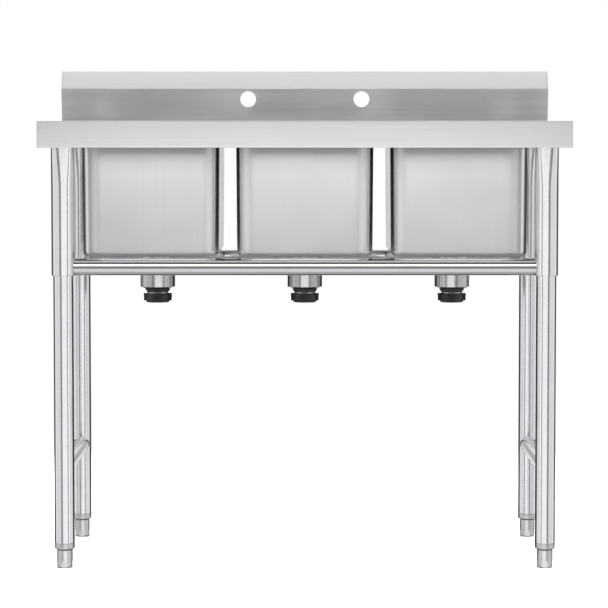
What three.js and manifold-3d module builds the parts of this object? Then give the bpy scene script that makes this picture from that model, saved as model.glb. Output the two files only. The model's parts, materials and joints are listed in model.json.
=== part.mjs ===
// A three compartment sink of folded and drawn stainless steel sheet on a tubular frame.
// Millimetres, +Z up, the front faces -Y. The origin is on the floor, under the middle of the deck.
import * as THREE from "three";
import { mergeVertices } from "three/addons/utils/BufferGeometryUtils.js";
import Module from "manifold-3d";

const wasm = await Module();
wasm.setup();

// Overall
const WIDTH = 1000;
const DEPTH = 485;
const HEIGHT = 953;
const SHEET = 1.5;
const GAP = 0.3;
const FRONT = -DEPTH / 2;
const BACK = DEPTH / 2;

// Deck: a raised rim round a lower floor, with a hemmed apron all round
const DECK_TOP = 846;
const RIM_DROP = 8;
const RIM_WIDTH = 12;
const RIM_SLOPE = 8;
const APRON_HEIGHT = 50;
const HEM_WIDTH = 14;
const DECK_FLOOR = DECK_TOP - RIM_DROP;
const DECK_UNDERSIDE = DECK_FLOOR - SHEET;
const DECK_CORNER = 3;

// Backsplash: leans forward, then slants back up to its top edge
const SPLASH_FOOT_Y = BACK - 8;
const SPLASH_BEND_Y = BACK - 19;
const SPLASH_BEND_Z = 915.5;
const SPLASH_RETURN = 28;
const FAUCET_SPACING = 233;
const FAUCET_HOLE = 32.5;
const FAUCET_Z = 893;

// Bowls: 10 x 14 inches, 10 inches deep
const BOWL_PITCH = 293;
const BOWL_WIDTH = 262;
const BOWL_LENGTH = 358;
const BOWL_FRONT = FRONT + 57;
const BOWL_BOTTOM = 588;
const BOWL_DRAFT = 2;
const BOWL_CORNER = 40;
const BOWL_FLOOR_RADIUS = 10;
const BOWL_LIP = 5;
const BOWL_Y = BOWL_FRONT + BOWL_LENGTH / 2;
const BOWL_TOP = DECK_UNDERSIDE - GAP;
const BOWLS = { left: -BOWL_PITCH, centre: 0, right: BOWL_PITCH };

// Legs and rails
const LEG_X = 455.5;
const FRONT_LEG_Y = FRONT + 42.5;
const REAR_LEG_Y = FRONT + 404;
const SLEEVE_RADIUS = 22;
const SLEEVE_WALL = 2.6;
const SLEEVE_BOTTOM = 555;
const SLEEVE_FLARE = 85;
const LEG_RADIUS = 19;
const LEG_WALL = 1.5;
const LEG_TOP = 655;
const LEG_BOTTOM = 47.5;
const RAIL_RADIUS = 16;
const RAIL_WALL = 1.5;
const RAIL_Z = 571;
const RAIL_SETBACK = 5;
const STRETCHER_Z = 191;
const LEGS = {
  front_left: [-LEG_X, FRONT_LEG_Y],
  front_right: [LEG_X, FRONT_LEG_Y],
  rear_left: [-LEG_X, REAR_LEG_Y],
  rear_right: [LEG_X, REAR_LEG_Y],
};

// Channels under the deck, which carry the sleeves
const CHANNEL_WIDTH = 50;
const CHANNEL_BOTTOM = 801;
const SLEEVE_TOP = CHANNEL_BOTTOM - GAP;

// Feet
const GRUB_Z = 600;
const GRUB_RADIUS = 4;
const COLLAR_BOTTOM = 36;
const INSERT_TOP = 72;
const STUD_RADIUS = 6;
const STUD_TOP = 90;
const STUD_BOTTOM = 12;
const FOOT_RADIUS = 15;
const FOOT_TOP = 34.5;
const NOTCH_WIDTH = 11;
const NOTCH_TOP = 13;
const NOTCH_OFFSET = 14;

// Drains
const DRAIN_Y = FRONT + 300;
const DRAIN_HOLE = 31;
const FLANGE_RADIUS = 45;
const BODY_RADIUS = 29;
const BODY_WALL = 1.5;
const BODY_BOTTOM = 541;
const SPIGOT_RADIUS = 20;
const SPIGOT_WALL = 2;
const SPIGOT_BOTTOM = 491;
const GASKET_HEIGHT = 3;
const CUP_RADIUS = 34.4;
const CUP_BEVEL_TOP = 518.5;
const CUP_BEVEL_RADIUS = 24.7;
const CUP_BOTTOM = 514.4;
const LOCKNUT_BOTTOM = 507.3;
const NUT_TOP = 505.5;
const NUT_BOTTOM = 487;
const NUT_RADIUS = 23;
const NUT_LUG_REACH = 28;
const NUT_LUGS = 2;
const NUT_MOUTH = 16.5;
const BASKET_RADIUS = 26;
const BASKET_FLOOR = 552;
const POST_RADIUS = 3;
const KNOB_TOP = 612;
const STOPPER_RADIUS = 24;

const FLANGE_BOTTOM = BOWL_BOTTOM + SHEET + GAP;
const FLANGE_TOP = FLANGE_BOTTOM + 2.5;
const GASKET_TOP = BOWL_BOTTOM - GAP;
const CUP_TOP = GASKET_TOP - GASKET_HEIGHT - GAP;

const object = new THREE.Group();

const MATERIALS = {
  deck: { color: "#d6d6d8", roughness: 0.34, metalness: 1 },
  bowl: { color: "#cfcfd2", roughness: 0.3, metalness: 1 },
  tube: { color: "#d2d2d6", roughness: 0.12, metalness: 1 },
  cup: { color: "#c4c4c8", roughness: 0.28, metalness: 1 },
  foot: { color: "#b9b9bc", roughness: 0.35, metalness: 1 },
  screw: { color: "#8e8e92", roughness: 0.4, metalness: 1 },
  zinc: { color: "#a9abad", roughness: 0.5, metalness: 1 },
  nut: { color: "#141414", roughness: 0.5, metalness: 0 },
  rubber: { color: "#1b1b1b", roughness: 0.85, metalness: 0 },
};

function add(name, look, geometry, x = 0, y = 0, z = 0) {
  const mesh = new THREE.Mesh(geometry, new THREE.MeshStandardMaterial(MATERIALS[look]));
  mesh.name = name;
  mesh.position.set(x, y, z);
  object.add(mesh);
}

// Joining and cutting closed geometries

function toSolid(geometry) {
  const bare = new THREE.BufferGeometry();
  bare.setAttribute("position", geometry.getAttribute("position"));
  bare.setIndex(geometry.getIndex());
  const merged = mergeVertices(bare, 1e-4);
  return new wasm.Manifold(
    new wasm.Mesh({
      numProp: 3,
      vertProperties: new Float32Array(merged.getAttribute("position").array),
      triVerts: new Uint32Array(merged.getIndex().array),
    }),
  );
}

function toGeometry(solid) {
  const mesh = solid.getMesh();
  const geometry = new THREE.BufferGeometry();
  geometry.setAttribute("position", new THREE.BufferAttribute(new Float32Array(mesh.vertProperties), 3));
  geometry.setIndex(new THREE.BufferAttribute(new Uint32Array(mesh.triVerts), 1));
  geometry.computeVertexNormals();
  return geometry;
}

function join(...geometries) {
  return toGeometry(geometries.map(toSolid).reduce((a, b) => a.add(b)));
}

function cut(geometry, ...tools) {
  return toGeometry(tools.map(toSolid).reduce((a, b) => a.subtract(b), toSolid(geometry)));
}

// Basic closed shapes

function box(x0, x1, y0, y1, z0, z1) {
  const geometry = new THREE.BoxGeometry(x1 - x0, y1 - y0, z1 - z0);
  return geometry.translate((x0 + x1) / 2, (y0 + y1) / 2, (z0 + z1) / 2);
}

function rod(radius, z0, z1, sides = 20) {
  const geometry = new THREE.CylinderGeometry(radius, radius, z1 - z0, sides);
  return geometry.rotateX(Math.PI / 2).translate(0, 0, (z0 + z1) / 2);
}

// A solid of revolution about Z. The profile of [radius, z] points runs anticlockwise; one that doesn't
// start and end on the axis is closed on itself.
function turned(profile, sides = 16) {
  const points = profile.map(([r, z]) => new THREE.Vector2(r, z));
  const onAxis = profile[0][0] === 0 && profile[profile.length - 1][0] === 0;
  if (!onAxis) {
    points.push(points[0].clone());
  }
  return new THREE.LatheGeometry(points, sides).rotateX(Math.PI / 2);
}

// A straight round tube from z0 to z1
function tube(radius, wall, z0, z1, sides = 20) {
  return turned(
    [
      [radius, z0],
      [radius, z1],
      [radius - wall, z1],
      [radius - wall, z0],
    ],
    sides,
  );
}

// Rows of points, each a closed ring seen anticlockwise from above, joined into a skin. A closed skin runs
// from the last ring back to the first; an open one has a flat cap on its first and last ring.
function loft(rings, closed = false) {
  const count = rings[0].length;
  const positions = rings.flat().flat();
  const index = [];
  const steps = closed ? rings.length : rings.length - 1;
  for (let i = 0; i < steps; i += 1) {
    const a = i * count;
    const b = ((i + 1) % rings.length) * count;
    for (let j = 0; j < count; j += 1) {
      const k = (j + 1) % count;
      index.push(a + j, a + k, b + k, a + j, b + k, b + j);
    }
  }
  if (!closed) {
    const last = (rings.length - 1) * count;
    for (let j = 1; j < count - 1; j += 1) {
      index.push(0, j + 1, j, last, last + j, last + j + 1);
    }
  }
  const geometry = new THREE.BufferGeometry();
  geometry.setAttribute("position", new THREE.Float32BufferAttribute(positions, 3));
  geometry.setIndex(index);
  return geometry;
}

// A ring in the shape of a rectangle with round corners
function roundedRing(x0, x1, y0, y1, radius, z, steps = 4) {
  const centres = [
    [x1 - radius, y1 - radius],
    [x0 + radius, y1 - radius],
    [x0 + radius, y0 + radius],
    [x1 - radius, y0 + radius],
  ];
  return centres.flatMap(([x, y], corner) =>
    Array.from({ length: steps + 1 }, (_, i) => {
      const angle = (corner + i / steps) * (Math.PI / 2);
      return [x + radius * Math.cos(angle), y + radius * Math.sin(angle), z];
    }),
  );
}

// A folded sheet: a chain of [y, z] points, thickened to its left and drawn out along X
function foldedSheet(chain, thickness, x0, x1) {
  const offset = chain.map((point, i) => {
    const before = chain[Math.max(i - 1, 0)];
    const after = chain[Math.min(i + 1, chain.length - 1)];
    const into = i === 0 ? unit(point, after) : unit(before, point);
    const out = i === chain.length - 1 ? into : unit(point, after);
    const normal = [-(into[1] + out[1]), into[0] + out[0]];
    const scale = thickness / (1 + into[0] * out[0] + into[1] * out[1]);
    return [point[0] + normal[0] * scale, point[1] + normal[1] * scale];
  });
  return drawnOut([...chain, ...offset.reverse()], x0, x1);
}

function unit(from, to) {
  const length = Math.hypot(to[0] - from[0], to[1] - from[1]);
  return [(to[0] - from[0]) / length, (to[1] - from[1]) / length];
}

// An outline of [y, z] points drawn out along X
function drawnOut(outline, x0, x1) {
  const shape = new THREE.Shape(outline.map(([y, z]) => new THREE.Vector2(y, z)));
  const geometry = new THREE.ExtrudeGeometry(shape, { depth: x1 - x0, bevelEnabled: false });
  const turn = new THREE.Matrix4().makeBasis(
    new THREE.Vector3(0, 1, 0),
    new THREE.Vector3(0, 0, 1),
    new THREE.Vector3(1, 0, 0),
  );
  return geometry.applyMatrix4(turn).translate(x0, 0, 0);
}

// The deck

function deckRing(inset, rearInset, z) {
  const radius = Math.max(DECK_CORNER - inset, 1);
  const x = WIDTH / 2 - inset;
  return roundedRing(-x, x, FRONT + inset, BACK - rearInset, radius, z, 2);
}

function bowlRing(inset, z, radius = BOWL_CORNER) {
  const x = BOWL_WIDTH / 2 - inset;
  const y = BOWL_LENGTH / 2 - inset;
  return roundedRing(-x, x, -y, y, radius, z);
}

function deckPanel() {
  const hem = DECK_TOP - APRON_HEIGHT;
  const crest = RIM_WIDTH;
  const toe = RIM_WIDTH + RIM_SLOPE;
  const skin = loft([
    deckRing(toe - SHEET, 7, DECK_UNDERSIDE),
    deckRing(crest - SHEET, 5, DECK_TOP - SHEET),
    deckRing(SHEET, SHEET, DECK_TOP - SHEET),
    deckRing(SHEET, SHEET, hem + SHEET),
    deckRing(HEM_WIDTH, HEM_WIDTH, hem + SHEET),
    deckRing(HEM_WIDTH, HEM_WIDTH, hem),
    deckRing(1, 1, hem),
    deckRing(0, 0, hem + 1),
    deckRing(0, 0, DECK_TOP - 1.5),
    deckRing(1.5, 1.5, DECK_TOP),
    deckRing(crest, 5, DECK_TOP),
    deckRing(toe, 7, DECK_FLOOR),
  ]);
  const step = SPLASH_FOOT_Y - 2;
  const rearNotch = box(-WIDTH, WIDTH, step, BACK + 1, DECK_UNDERSIDE, DECK_TOP + 1);
  const edge = WIDTH / 2 - SHEET / 2;
  const rearFloor = box(-edge, edge, step - 6, BACK - SHEET / 2, DECK_UNDERSIDE, DECK_FLOOR);
  const openings = Object.values(BOWLS).map((x) =>
    loft([
      bowlRing(SHEET, DECK_UNDERSIDE - 1, BOWL_CORNER - SHEET),
      bowlRing(SHEET, DECK_TOP, BOWL_CORNER - SHEET),
    ]).translate(x, BOWL_Y, 0),
  );
  return cut(join(cut(skin, rearNotch), rearFloor), ...openings);
}

function sideChannel() {
  const half = CHANNEL_WIDTH / 2;
  const top = DECK_UNDERSIDE - GAP;
  const y0 = FRONT + 6;
  const y1 = BACK - 20;
  return cut(
    box(-half, half, y0, y1, CHANNEL_BOTTOM, top),
    box(-half + SHEET, half - SHEET, y0 - 1, y1 + 1, CHANNEL_BOTTOM + SHEET, top + 1),
  );
}

// The backsplash

function backsplashPanel() {
  const foot = DECK_FLOOR + GAP;
  const chain = [
    [BACK - SHEET, foot],
    [SPLASH_FOOT_Y, foot],
    [SPLASH_BEND_Y, SPLASH_BEND_Z],
    [BACK, HEIGHT],
    [BACK, HEIGHT - SPLASH_RETURN],
  ];
  const reach = WIDTH / 2 - SHEET - GAP;
  const sheet = foldedSheet(chain.reverse(), SHEET, -reach, reach);
  const holes = [-1, 1].map((side) =>
    rod(FAUCET_HOLE / 2, -20, 20, 24)
      .rotateX(Math.PI / 2)
      .translate((side * FAUCET_SPACING) / 2, SPLASH_FOOT_Y - 8, FAUCET_Z),
  );
  return cut(sheet, ...holes);
}

function backsplashEnd(side) {
  const outline = [
    [SPLASH_FOOT_Y, DECK_FLOOR + GAP],
    [BACK, DECK_FLOOR + GAP],
    [BACK, HEIGHT],
    [SPLASH_BEND_Y, SPLASH_BEND_Z],
  ];
  const inner = side * (WIDTH / 2 - SHEET);
  const outer = (side * WIDTH) / 2;
  return drawnOut(outline, Math.min(inner, outer), Math.max(inner, outer));
}

// The bowls

function bowl() {
  const wallBottom = BOWL_BOTTOM + BOWL_FLOOR_RADIUS;
  const innerRadius = BOWL_FLOOR_RADIUS - SHEET;
  const bend = (steps, radius, inset) =>
    Array.from({ length: steps + 1 }, (_, i) => {
      const angle = (i / steps) * (Math.PI / 2);
      const rise = radius * (1 - Math.cos(angle));
      const run = radius * (1 - Math.sin(angle));
      return bowlRing(inset + run, wallBottom - radius + rise, BOWL_CORNER - run * 0.8);
    });
  const outside = bend(4, BOWL_FLOOR_RADIUS, BOWL_DRAFT);
  const inside = bend(4, innerRadius, BOWL_DRAFT + SHEET).reverse();
  const lip = -BOWL_LIP;
  const shell = loft([
    ...outside,
    bowlRing(0, BOWL_TOP - SHEET),
    bowlRing(lip, BOWL_TOP - SHEET, BOWL_CORNER + BOWL_LIP),
    bowlRing(lip, BOWL_TOP, BOWL_CORNER + BOWL_LIP),
    bowlRing(SHEET, BOWL_TOP, BOWL_CORNER - SHEET),
    ...inside,
  ]);
  const hole = rod(DRAIN_HOLE, BOWL_BOTTOM - 5, BOWL_BOTTOM + 5, 24);
  return cut(shell, hole.translate(0, DRAIN_Y - BOWL_Y, 0));
}

// The legs

// A cross-section between a circle (power 2) and a square with round corners (higher powers)
function sleeveRing(radius, power, z, count = 24) {
  return Array.from({ length: count }, (_, i) => {
    const angle = (i / count) * 2 * Math.PI;
    const c = Math.cos(angle);
    const s = Math.sin(angle);
    const reach = radius / (Math.abs(c) ** power + Math.abs(s) ** power) ** (1 / power);
    return [reach * c, reach * s, z];
  });
}

function legSleeve() {
  const inner = SLEEVE_RADIUS - SLEEVE_WALL;
  const flareStart = SLEEVE_TOP - SLEEVE_FLARE;
  const flare = [0, 0.35, 0.7, 1].map((t) => [2 + 1.1 * t ** 1.6, flareStart + SLEEVE_FLARE * t]);
  const shell = loft(
    [
      sleeveRing(SLEEVE_RADIUS, 2, SLEEVE_BOTTOM),
      ...flare.map(([power, z]) => sleeveRing(SLEEVE_RADIUS, power, z)),
      sleeveRing(inner, 2, SLEEVE_TOP),
      sleeveRing(inner, 2, SLEEVE_BOTTOM),
    ],
    true,
  );
  const tappedHole = rod(GRUB_RADIUS + GAP, 0, 2 * SLEEVE_RADIUS, 12);
  return cut(shell, tappedHole.rotateX(-Math.PI / 2).translate(0, 0, GRUB_Z));
}

function lowerLeg() {
  return tube(LEG_RADIUS, LEG_WALL, LEG_BOTTOM, LEG_TOP);
}

// A hexagon-socket screw that lies along +Y, its tip against the lower leg
function grubScrew() {
  const length = SLEEVE_RADIUS - LEG_RADIUS + 3;
  const start = LEG_RADIUS + GAP;
  const screw = cut(rod(GRUB_RADIUS, 0, length, 12), rod(2.2, length - 2.5, length + 1, 6));
  return screw.rotateX(-Math.PI / 2).translate(0, start, GRUB_Z);
}

// A round tube between two upright tubes, its ends coped to fit round them. Its axis passes the posts' axes
// at the setback.
function rail(length, postRadius, setback = 0) {
  const half = length / 2;
  const bar = tube(RAIL_RADIUS, RAIL_WALL, -half, half);
  const posts = [-1, 1].map((side) =>
    rod(postRadius + GAP, -40, 40, 32)
      .rotateY(Math.PI / 2)
      .translate(0, -setback, side * half),
  );
  return cut(bar, ...posts);
}

function crossRail() {
  return rail(2 * LEG_X, SLEEVE_RADIUS, RAIL_SETBACK).rotateY(Math.PI / 2);
}

function sideStretcher() {
  return rail(REAR_LEG_Y - FRONT_LEG_Y, LEG_RADIUS).rotateY(Math.PI / 2).rotateZ(Math.PI / 2);
}

function tubeInsert() {
  const bore = STUD_RADIUS + GAP;
  const plug = LEG_RADIUS - LEG_WALL - GAP;
  return turned([
    [bore, COLLAR_BOTTOM],
    [LEG_RADIUS - 3, COLLAR_BOTTOM],
    [LEG_RADIUS - 0.9, COLLAR_BOTTOM + 0.9],
    [LEG_RADIUS, COLLAR_BOTTOM + 3],
    [LEG_RADIUS, LEG_BOTTOM - GAP],
    [plug, LEG_BOTTOM - GAP],
    [plug, INSERT_TOP],
    [bore, INSERT_TOP],
  ]);
}

function footStud() {
  return turned(
    [
      [0, STUD_BOTTOM],
      [STUD_RADIUS, STUD_BOTTOM],
      [STUD_RADIUS, STUD_TOP - 1.5],
      [STUD_RADIUS - 1.5, STUD_TOP],
      [0, STUD_TOP],
    ],
    12,
  );
}

// A foot bored for its stud, with four spanner notches round its bottom edge
function foot() {
  const blank = turned([
    [0, 0],
    [FOOT_RADIUS - 4, 0],
    [FOOT_RADIUS - 1.2, 1.2],
    [FOOT_RADIUS, 4],
    [FOOT_RADIUS, FOOT_TOP - 1],
    [FOOT_RADIUS - 1, FOOT_TOP],
    [STUD_RADIUS + GAP, FOOT_TOP],
    [STUD_RADIUS + GAP, STUD_BOTTOM - GAP],
    [0, STUD_BOTTOM - GAP],
  ]);
  const half = NOTCH_WIDTH / 2;
  const notches = [0, 1, 2, 3].map((i) =>
    box(NOTCH_OFFSET, FOOT_RADIUS + 5, -half, half, -5, NOTCH_TOP).rotateZ((i * Math.PI) / 2),
  );
  return cut(blank, ...notches);
}

// The drains

function drainBody() {
  const inner = BODY_RADIUS - BODY_WALL;
  const bore = SPIGOT_RADIUS - SPIGOT_WALL;
  const shell = turned(
    [
      [bore, SPIGOT_BOTTOM],
      [SPIGOT_RADIUS, SPIGOT_BOTTOM],
      [SPIGOT_RADIUS, BODY_BOTTOM],
      [BODY_RADIUS, BODY_BOTTOM],
      [BODY_RADIUS, FLANGE_BOTTOM],
      [FLANGE_RADIUS, FLANGE_BOTTOM],
      [FLANGE_RADIUS, FLANGE_BOTTOM + 1],
      [FLANGE_RADIUS - 3, FLANGE_TOP],
      [inner + 4, FLANGE_TOP],
      [inner, FLANGE_TOP - 3],
      [inner, BODY_BOTTOM + BODY_WALL],
      [bore, BODY_BOTTOM + BODY_WALL],
    ],
    20,
  );
  const reach = bore + 1;
  const bars = [
    box(-reach, reach, -1.2, 1.2, BODY_BOTTOM, BODY_BOTTOM + BODY_WALL),
    box(-1.2, 1.2, -reach, reach, BODY_BOTTOM, BODY_BOTTOM + BODY_WALL),
  ];
  return join(shell, ...bars);
}

function drainGasket() {
  return tube(CUP_RADIUS + 2.5, CUP_RADIUS + 2.5 - BODY_RADIUS - GAP, GASKET_TOP - GASKET_HEIGHT, GASKET_TOP);
}

function drainCup() {
  const hole = SPIGOT_RADIUS + GAP;
  return turned(
    [
      [hole, CUP_BOTTOM],
      [CUP_BEVEL_RADIUS, CUP_BOTTOM],
      [CUP_RADIUS, CUP_BEVEL_TOP],
      [CUP_RADIUS, CUP_TOP - SHEET],
      [CUP_RADIUS + 3, CUP_TOP - SHEET],
      [CUP_RADIUS + 3, CUP_TOP],
      [CUP_RADIUS - SHEET, CUP_TOP],
      [CUP_RADIUS - SHEET, CUP_BEVEL_TOP + 1],
      [CUP_BEVEL_RADIUS, CUP_BOTTOM + SHEET],
      [hole, CUP_BOTTOM + SHEET],
    ],
    24,
  );
}

function drainLocknut() {
  return turned(
    [
      [SPIGOT_RADIUS + GAP, LOCKNUT_BOTTOM],
      [SPIGOT_RADIUS + 0.8, LOCKNUT_BOTTOM],
      [CUP_BEVEL_RADIUS, CUP_BOTTOM - 1.5],
      [CUP_BEVEL_RADIUS, CUP_BOTTOM - GAP],
      [SPIGOT_RADIUS + GAP, CUP_BOTTOM - GAP],
    ],
    20,
  );
}

// A slip nut with lugs to grip, its lip closing in under the end of the spigot
function outletNut() {
  const bore = SPIGOT_RADIUS + GAP;
  const lip = SPIGOT_BOTTOM - 1.2;
  const ring = turned(
    [
      [NUT_MOUTH, NUT_BOTTOM],
      [NUT_RADIUS - 2, NUT_BOTTOM],
      [NUT_RADIUS, NUT_BOTTOM + 3],
      [NUT_RADIUS, NUT_TOP - 1],
      [NUT_RADIUS - 1, NUT_TOP],
      [bore, NUT_TOP],
      [bore, lip],
      [NUT_MOUTH, lip],
    ],
    20,
  );
  const lugs = Array.from({ length: NUT_LUGS }, (_, i) => {
    const outline = [
      [NUT_RADIUS - 1.5, NUT_BOTTOM + 3],
      [NUT_LUG_REACH - 0.5, NUT_BOTTOM + 3.5],
      [NUT_LUG_REACH, NUT_TOP - 1],
      [NUT_LUG_REACH - 1, NUT_TOP - 0.5],
      [NUT_RADIUS - 1.5, NUT_TOP - 0.5],
    ];
    return drawnOut(outline, -3, 3).rotateZ((i * 2 * Math.PI) / NUT_LUGS - Math.PI / 2);
  });
  return join(ring, ...lugs);
}

function strainerBasket() {
  const wall = 1;
  const rim = FLANGE_TOP - 2.6;
  const cup = turned(
    [
      [0, BASKET_FLOOR],
      [BASKET_RADIUS - 3, BASKET_FLOOR],
      [BASKET_RADIUS, BASKET_FLOOR + 5],
      [BASKET_RADIUS, rim],
      [BASKET_RADIUS - wall, rim],
      [BASKET_RADIUS - wall, BASKET_FLOOR + 5.5],
      [BASKET_RADIUS - 3.5, BASKET_FLOOR + wall],
      [0, BASKET_FLOOR + wall],
    ],
    20,
  );
  const holes = Array.from({ length: 8 }, (_, i) => {
    const angle = (i / 8) * 2 * Math.PI;
    return rod(3, BASKET_FLOOR - 1, BASKET_FLOOR + 3, 6)
      .translate(15 * Math.cos(angle), 15 * Math.sin(angle), 0);
  });
  const post = turned(
    [
      [0, BASKET_FLOOR - 7.2],
      [POST_RADIUS + 3, BASKET_FLOOR - 7.2],
      [POST_RADIUS + 3, BASKET_FLOOR - 5.2],
      [POST_RADIUS, BASKET_FLOOR - 5.2],
      [POST_RADIUS, KNOB_TOP - 9],
      [9, KNOB_TOP - 6],
      [9, KNOB_TOP - 3],
      [6, KNOB_TOP],
      [0, KNOB_TOP],
    ],
    10,
  );
  return join(cut(cup, ...holes), post);
}

function basketStopper() {
  return turned(
    [
      [POST_RADIUS + GAP, BASKET_FLOOR - 4.8],
      [STOPPER_RADIUS - 2, BASKET_FLOOR - 4.8],
      [STOPPER_RADIUS, BASKET_FLOOR - 2.8],
      [STOPPER_RADIUS - 2, BASKET_FLOOR - GAP],
      [POST_RADIUS + GAP, BASKET_FLOOR - GAP],
    ],
    16,
  );
}

// The whole sink

function addTop() {
  add("deck_panel", "deck", deckPanel());
  add("backsplash_panel", "deck", backsplashPanel());
  add("backsplash_end_left", "deck", backsplashEnd(-1));
  add("backsplash_end_right", "deck", backsplashEnd(1));
  add("side_channel_left", "zinc", sideChannel(), -LEG_X);
  add("side_channel_right", "zinc", sideChannel(), LEG_X);
}

function addLegs() {
  for (const [place, [x, y]] of Object.entries(LEGS)) {
    add(`leg_sleeve_${place}`, "tube", legSleeve(), x, y);
    add(`lower_leg_${place}`, "tube", lowerLeg(), x, y);
    add(`grub_screw_${place}`, "screw", grubScrew(), x, y);
    add(`tube_insert_${place}`, "foot", tubeInsert(), x, y);
    add(`foot_stud_${place}`, "screw", footStud(), x, y);
    add(`foot_${place}`, "foot", foot(), x, y);
  }
}

function addRails() {
  const middle = (FRONT_LEG_Y + REAR_LEG_Y) / 2;
  add("front_rail", "tube", crossRail(), 0, FRONT_LEG_Y + RAIL_SETBACK, RAIL_Z);
  add("rear_rail", "tube", crossRail(), 0, REAR_LEG_Y + RAIL_SETBACK, RAIL_Z);
  add("side_stretcher_left", "tube", sideStretcher(), -LEG_X, middle, STRETCHER_Z);
  add("side_stretcher_right", "tube", sideStretcher(), LEG_X, middle, STRETCHER_Z);
}

function addBowls() {
  for (const [place, x] of Object.entries(BOWLS)) {
    add(`bowl_${place}`, "bowl", bowl(), x, BOWL_Y);
    add(`drain_body_${place}`, "cup", drainBody(), x, DRAIN_Y);
    add(`drain_gasket_${place}`, "rubber", drainGasket(), x, DRAIN_Y);
    add(`drain_cup_${place}`, "cup", drainCup(), x, DRAIN_Y);
    add(`drain_locknut_${place}`, "nut", drainLocknut(), x, DRAIN_Y);
    add(`outlet_nut_${place}`, "nut", outletNut(), x, DRAIN_Y);
    add(`strainer_basket_${place}`, "cup", strainerBasket(), x, DRAIN_Y);
    add(`basket_stopper_${place}`, "rubber", basketStopper(), x, DRAIN_Y);
  }
}

addTop();
addLegs();
addRails();
addBowls();

export default object;
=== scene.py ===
"""The looks of a three compartment sink of folded and drawn stainless steel, for Blender 4.5.

Lengths are in millimetres up to the point where a mesh is made, which is in metres. +Z is up and the front
faces -Y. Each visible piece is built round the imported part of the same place, and rides on its body.
"""

import json
import math

import bmesh
import bpy
from mathutils import Matrix, Vector

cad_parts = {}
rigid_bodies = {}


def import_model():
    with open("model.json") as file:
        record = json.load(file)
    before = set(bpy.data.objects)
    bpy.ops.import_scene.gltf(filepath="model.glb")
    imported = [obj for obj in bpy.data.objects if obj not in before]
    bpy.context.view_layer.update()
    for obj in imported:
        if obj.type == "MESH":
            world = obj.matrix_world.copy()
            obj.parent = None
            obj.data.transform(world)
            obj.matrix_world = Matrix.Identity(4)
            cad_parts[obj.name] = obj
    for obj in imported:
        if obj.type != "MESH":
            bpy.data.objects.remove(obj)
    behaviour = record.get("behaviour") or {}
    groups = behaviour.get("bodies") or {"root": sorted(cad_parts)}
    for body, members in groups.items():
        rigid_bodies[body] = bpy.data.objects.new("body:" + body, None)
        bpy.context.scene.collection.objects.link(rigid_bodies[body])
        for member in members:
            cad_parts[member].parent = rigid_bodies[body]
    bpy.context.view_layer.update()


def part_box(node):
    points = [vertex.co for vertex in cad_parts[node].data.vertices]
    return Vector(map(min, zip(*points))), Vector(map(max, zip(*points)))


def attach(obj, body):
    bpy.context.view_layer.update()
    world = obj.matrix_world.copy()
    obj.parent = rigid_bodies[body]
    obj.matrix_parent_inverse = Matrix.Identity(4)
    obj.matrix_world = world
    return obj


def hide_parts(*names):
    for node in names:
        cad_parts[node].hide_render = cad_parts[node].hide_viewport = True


MM = 0.001

# Sheet metal
SHEET = 1.5
SEAM = 0.3
DECK_TOP = 846
DECK_FLOOR = 838
RIM_WIDTH = 12
RIM_SLOPE = 8
HEM_WIDTH = 14
SPLASH_FOOT = 8
SPLASH_LEAN = 19
SPLASH_BEND_Z = 915.5
SPLASH_RETURN = 28
FAUCET_SPACING = 233
FAUCET_HOLE = 32.5
FAUCET_Z = 893

# Bowls
BOWL_LIP = 5
BOWL_CORNER = 40
BOWL_DRAFT = 2
BOWL_FLOOR_RADIUS = 10
BOWL_FALL = 1
BOWL_DISH = 52
DRAIN_HOLE = 31

# Legs and rails
SLEEVE_FLARE = 85
SLEEVE_SQUARENESS = 3.1
SLEEVE_WALL = 2.6
TUBE_WALL = 1.5
GRUB_Z = 600
GRUB_HOLE = 4.3

# Feet
STUD_HOLE = 6.3
NOTCH_WIDTH = 11
NOTCH_TOP = 13
NOTCH_OFFSET = 14

# Drains
BODY_RADIUS = 29
BODY_FLOOR = 541
SPIGOT_RADIUS = 20
SPIGOT_BORE = 18
SPIGOT_HOLE = 20.3
CUP_FLANGE = 3
CUP_BEVEL = 4.1
CUP_BEVEL_RADIUS = 24.7
CONE_RADIUS = 20.8
NUT_RADIUS = 23
NUT_MOUTH = 16.5
BASKET_RADIUS = 26
BASKET_FLOOR = 552
KNOB_RADIUS = 9
POST_RADIUS = 3

# The studio, in metres. The camera doesn't see the lamps and panels.
LENS = 142.77
CAMERA_PLACE = (0, -4.7414, 0.8207)
CAMERA_TILT = 3.159
LAMP_HEIGHT = 2.3
PANEL_Y = -1.475
PANEL_WIDTH = 1.55
PAPER_RADIUS = 2
PAPER_FADE = (1.1, 1.6)

PLACES = ("left", "centre", "right")
LEGS = ("front_left", "front_right", "rear_left", "rear_right")


# Outlines and rings


def rounded(corners, steps=5):
    """The outline through (a, b, radius) corners, each turned with an arc of its radius."""
    points = []
    for i, (a, b, radius) in enumerate(corners):
        corner = Vector((a, b))
        if radius == 0:
            points.append(corner)
            continue
        back = (Vector(corners[i - 1][:2]) - corner).normalized()
        ahead = (Vector(corners[(i + 1) % len(corners)][:2]) - corner).normalized()
        half = back.angle(ahead) / 2
        centre = corner + (back + ahead).normalized() * (radius / math.sin(half))
        start = corner + back * (radius / math.tan(half)) - centre
        turn = math.pi - 2 * half
        if back.x * ahead.y - back.y * ahead.x > 0:
            turn = -turn
        for step in range(steps + 1):
            points.append(centre + Matrix.Rotation(turn * step / steps, 2) @ start)
    return points


def circle_ring(radius, z, count=64):
    turns = [2 * math.pi * i / count for i in range(count)]
    return [(radius * math.cos(t), radius * math.sin(t), z) for t in turns]


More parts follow.
